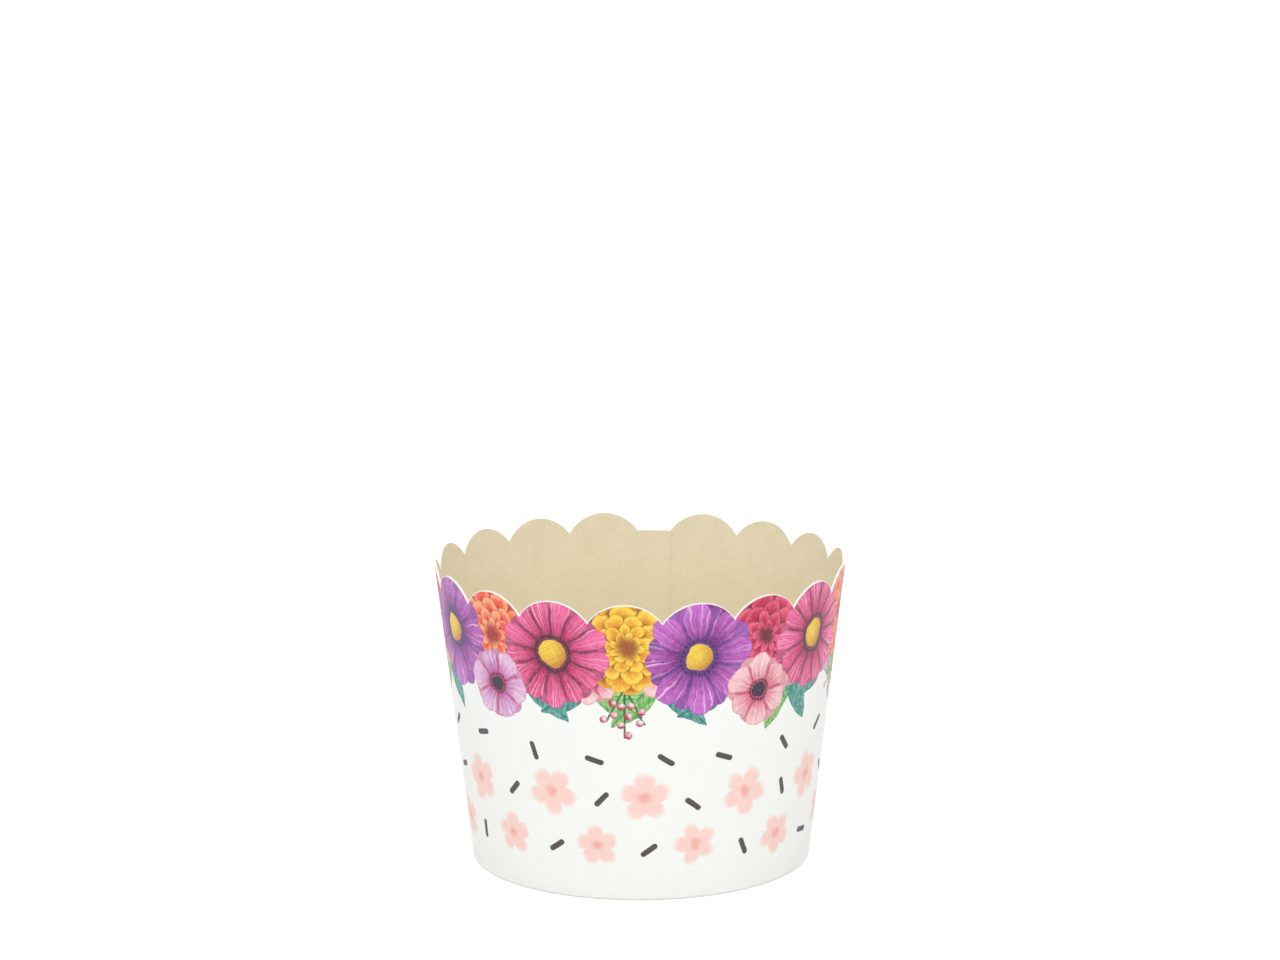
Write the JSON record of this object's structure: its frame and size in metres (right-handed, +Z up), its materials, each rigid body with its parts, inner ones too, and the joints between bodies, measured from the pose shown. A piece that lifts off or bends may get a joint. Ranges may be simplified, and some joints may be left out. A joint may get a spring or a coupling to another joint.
{
  "type": "cupcake liner",
  "caption": "Stiff paper baking cup with a tapered round wall, a scalloped rim, a lapped back seam and a recessed base, for baking and serving a cupcake.",
  "frame": {"origin": "middle of the foot ring, in the plane that the cup stands on", "axes": "+Z up along the cone's axis, -Y to the front lobe, +Y to the lapped seam at the back, +X to the right seen from the front"},
  "size_m": [0.0726, 0.0728, 0.0541],
  "materials": {
    "wall_board": "satin",
    "base_board": "matte"
  },
  "bodies": {
    "root": {"side_wall": "wall_board", "base_disc": "base_board"}
  },
  "joints": []
}
